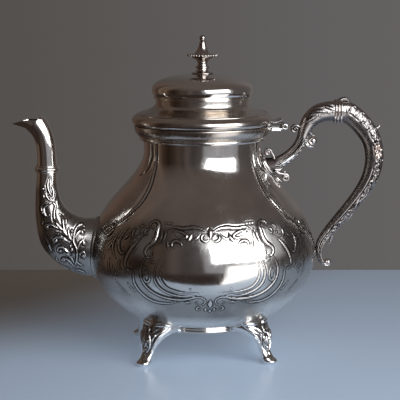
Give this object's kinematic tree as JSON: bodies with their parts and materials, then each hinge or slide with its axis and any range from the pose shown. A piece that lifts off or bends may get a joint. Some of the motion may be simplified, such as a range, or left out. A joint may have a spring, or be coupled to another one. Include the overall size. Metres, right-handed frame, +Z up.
{
  "type": "teapot",
  "caption": "Footed pear-shaped teapot with a swan-neck spout, scrolled loop handle and hinged domed lid with a beaded finial",
  "frame": {"origin": "on the table under the pot's own axis, level with the soles of the feet", "axes": "+Z up; -X towards the spout, +X towards the handle; +Y to the back when the spout is on the left"},
  "size_m": [0.2579, 0.1578, 0.2219],
  "materials": {
    "plated_silver": "polished silver plate with light tarnish and fine scratches",
    "chased_silver": "polished silver plate with dark tarnish in the chased hollows",
    "cast_silver": "cast and plated, dark in the hollows, worn bright on the high places",
    "nickel_silver": "plain turned nickel silver"
  },
  "bodies": {
    "pot": {"body_bowl": "plated_silver", "body_shoulder": "plated_silver", "body_neck": "plated_silver", "base_plate": "plated_silver", "foot_ring": "plated_silver", "front_left_foot": "cast_silver", "front_right_foot": "cast_silver", "rear_left_foot": "cast_silver", "rear_right_foot": "cast_silver", "neck_collar": "plated_silver", "neck_bead": "plated_silver", "spout_flange": "chased_silver", "spout_base": "chased_silver", "spout_collar": "plated_silver", "spout_tip": "plated_silver", "upper_handle_pad": "cast_silver", "handle_strut": "cast_silver", "handle_arch": "cast_silver", "handle_band": "cast_silver", "handle_grip": "cast_silver", "handle_tail": "cast_silver", "lower_handle_pad": "cast_silver", "body_hinge_leaf": "plated_silver", "hinge_pin": "nickel_silver"},
    "lid": {"lid_hinge_leaf": "plated_silver", "lid_skirt": "plated_silver", "lid_dome": "plated_silver", "lid_bezel": "plated_silver", "finial_base": "plated_silver", "finial_stem": "plated_silver", "finial_disc": "plated_silver", "finial_spire": "plated_silver", "finial_stud": "nickel_silver", "finial_washer": "nickel_silver", "finial_nut": "nickel_silver"}
  },
  "joints": [
    {"name": "lid_hinge", "type": "hinge", "parent": "pot", "child": "lid", "pos_m": [0.0568, 0, 0.1587], "axis": [0, 1, 0], "range_deg": [0, 95]}
  ]
}
